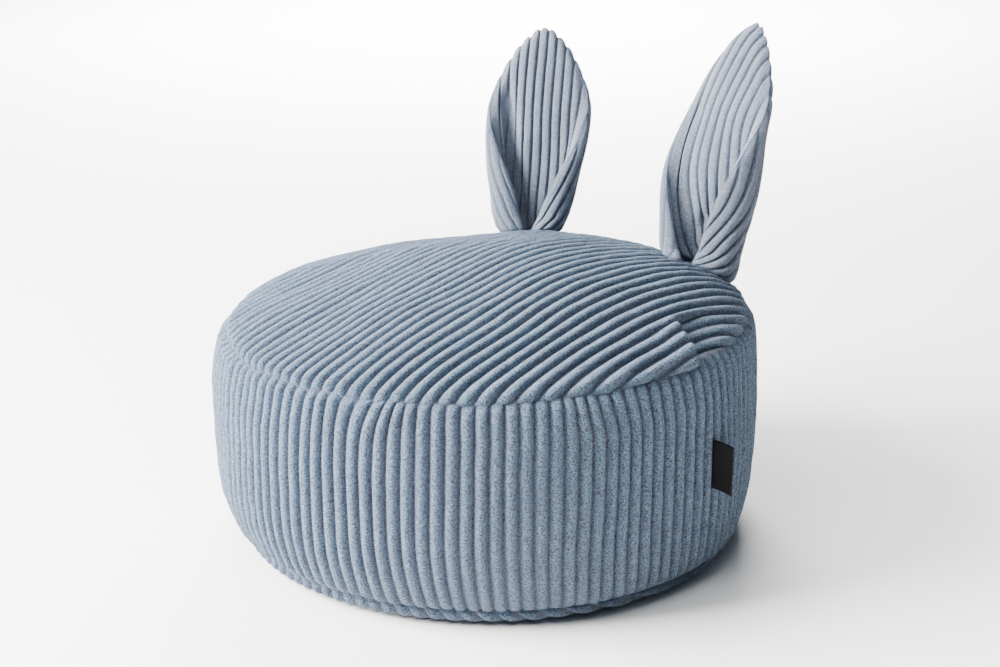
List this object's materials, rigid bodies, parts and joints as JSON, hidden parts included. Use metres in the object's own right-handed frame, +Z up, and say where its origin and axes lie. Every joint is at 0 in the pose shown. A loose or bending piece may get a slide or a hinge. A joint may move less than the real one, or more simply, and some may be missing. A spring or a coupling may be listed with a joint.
{
  "type": "bean bag footstool",
  "caption": "Round filled footstool in chunky corduroy, with a crowned top, an upright side band and folded ears standing at the back.",
  "frame": {"origin": "middle of the flat foot, on the surface it stands on", "axes": "+Z up, -Y to the front, away from the ears; the cords of the top run along Y"},
  "size_m": [0.5197, 0.5079, 0.4497],
  "materials": {
    "band_corduroy": "matte",
    "top_corduroy": "matte",
    "bottom_corduroy": "matte",
    "ear_corduroy": "matte",
    "label_tape": "matte"
  },
  "bodies": {
    "root": {"side_band": "band_corduroy", "top_panel": "top_corduroy", "bottom_panel": "bottom_corduroy", "ear_right": "ear_corduroy", "ear_left": "ear_corduroy", "side_label": "label_tape"}
  },
  "joints": []
}
